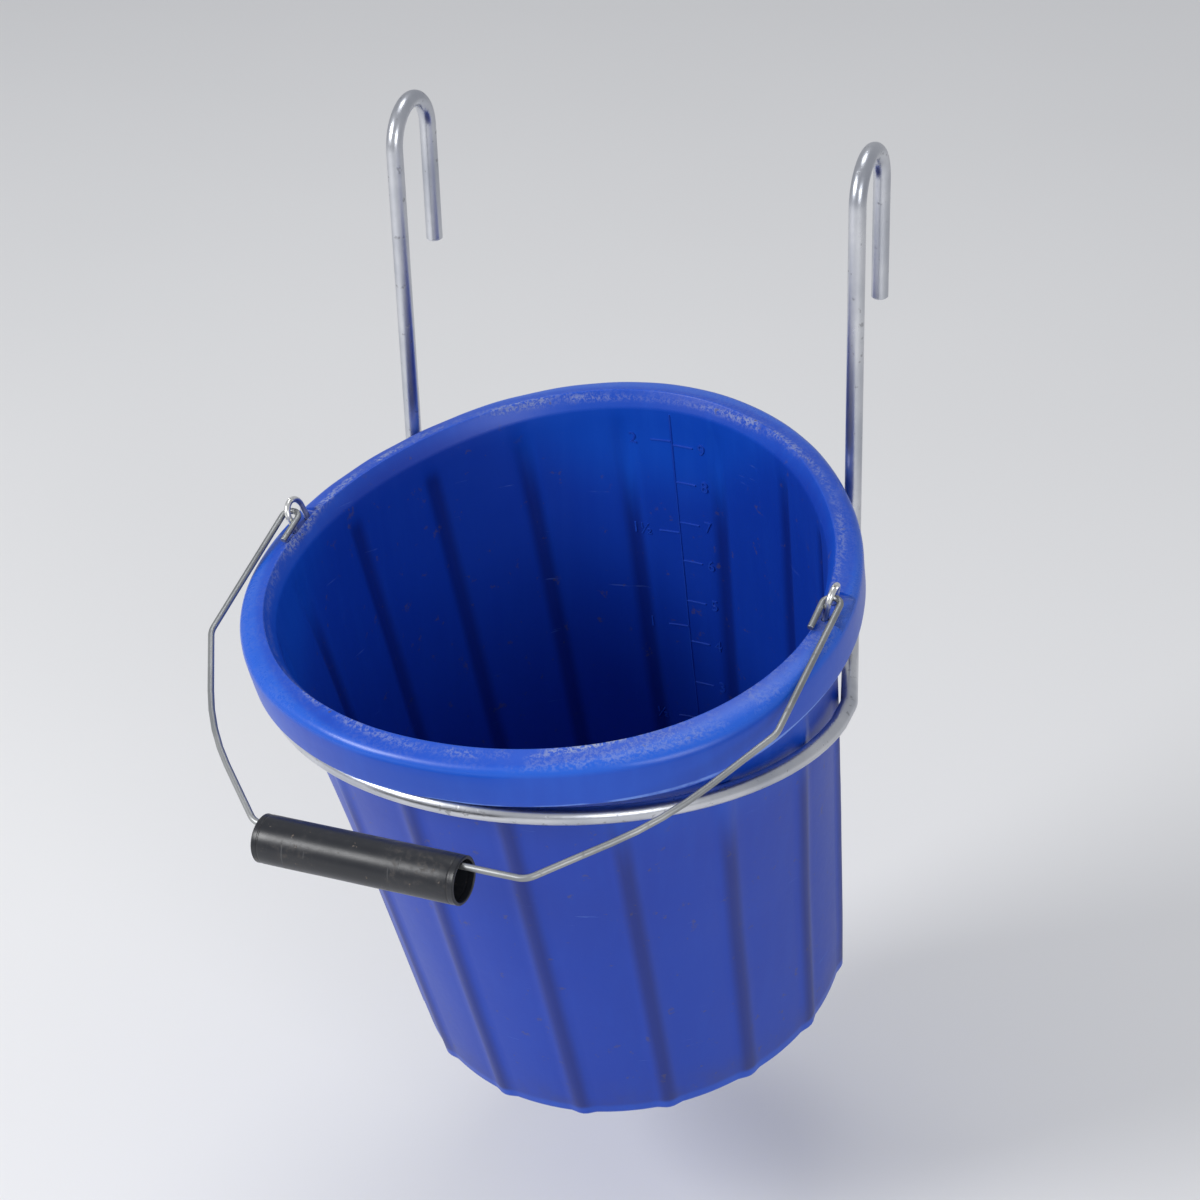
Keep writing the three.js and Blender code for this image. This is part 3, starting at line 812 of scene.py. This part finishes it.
staplePaint = wirePaint("staple_wire")
for side, word in ((-1, "left"), (1, "right")):
    staple = makeStaple("ear_wire_" + word, side)
    dress(staple, staplePaint, "bucket", "staple_wire", "ear_staple_" + word)
print("ear staples done")

dress(makeBail(), wirePaint("bail_wire"), "bail", "bail_wire", "bail_wire")
dress(makeGrip(), gripPaint(), "grip", "grip", "grip_sleeve")
print("bail and grip done")

dress(makeRod(), wirePaint("holder_rod"), "holder", "holder_rod", "holder_rod")
print("holder done")


# floor, light and camera

studio = {
    "floorDrop": 0.10, "floorSize": 6.0, "world": 0.5, "skyColour": (0.93, 0.95, 1.0, 1),
    # each lamp's place, width and power
    "key": ((-1.5, -1.5, 1.0), 0.9, 34),
    "fill": ((1.3, -1.5, 0.5), 0.9, 10),
    "top": ((-0.2, 0.4, 1.9), 1.1, 9),
    "azimuth": math.radians(22.45), "elevation": math.radians(30.0), "roll": math.radians(-1.905),
    "cameraPlace": (0.4700, -1.1966, 0.4956), "lens": 88.8, "sensor": 36, "aim": (0, -0.13, -0.2),
}


def makeFloor():
    half = studio["floorSize"] / 2
    level = cadBox[0][2] - studio["floorDrop"]
    square = ((-half, -half), (half, -half), (half, half), (-half, half))
    corners = [Vector((x, y, level)) for x, y in square]
    mesh = bpy.data.meshes.new("floor")
    mesh.from_pydata(corners, [], [(0, 1, 2, 3)])
    mesh.materials.append(floorPaint())
    floor = addObject("floor", mesh)


def addLamp(name, place, size, power):
    lamp = bpy.data.lights.new(name, "AREA")
    lamp.shape = "DISK"
    lamp.size = size
    lamp.energy = power
    made = addObject(name, lamp)
    made.location = place
    made.rotation_euler = (Vector(studio["aim"]) - Vector(place)).to_track_quat("-Z", "Y").to_euler()


def addCamera():
    s = studio
    a, e = s["azimuth"], s["elevation"]
    right = Vector((math.cos(a), math.sin(a), 0))
    ahead = Vector((-math.sin(a) * math.cos(e), math.cos(a) * math.cos(e), -math.sin(e)))
    down = ahead.cross(right)
    c, t = math.cos(s["roll"]), math.sin(s["roll"])
    right, down = right * c - down * t, right * t + down * c
    turned = Matrix((right, -down, -ahead)).transposed().to_4x4()
    turned.translation = Vector(s["cameraPlace"])
    view = bpy.data.cameras.new("camera")
    view.lens = s["lens"]
    view.sensor_width = studio["sensor"]
    camera = addObject("camera", view)
    camera.matrix_world = turned
    bpy.context.scene.camera = camera


makeFloor()
for name in ("key", "fill", "top"):
    addLamp(name, *studio[name])
bpy.context.scene.view_settings.view_transform = "Standard"
sky = bpy.data.worlds.new("studio")
sky.use_nodes = True
skyInputs = sky.node_tree.nodes["Background"].inputs
skyInputs["Color"].default_value = studio["skyColour"]
skyInputs["Strength"].default_value = studio["world"]
bpy.context.scene.world = sky
addCamera()
print("studio done")
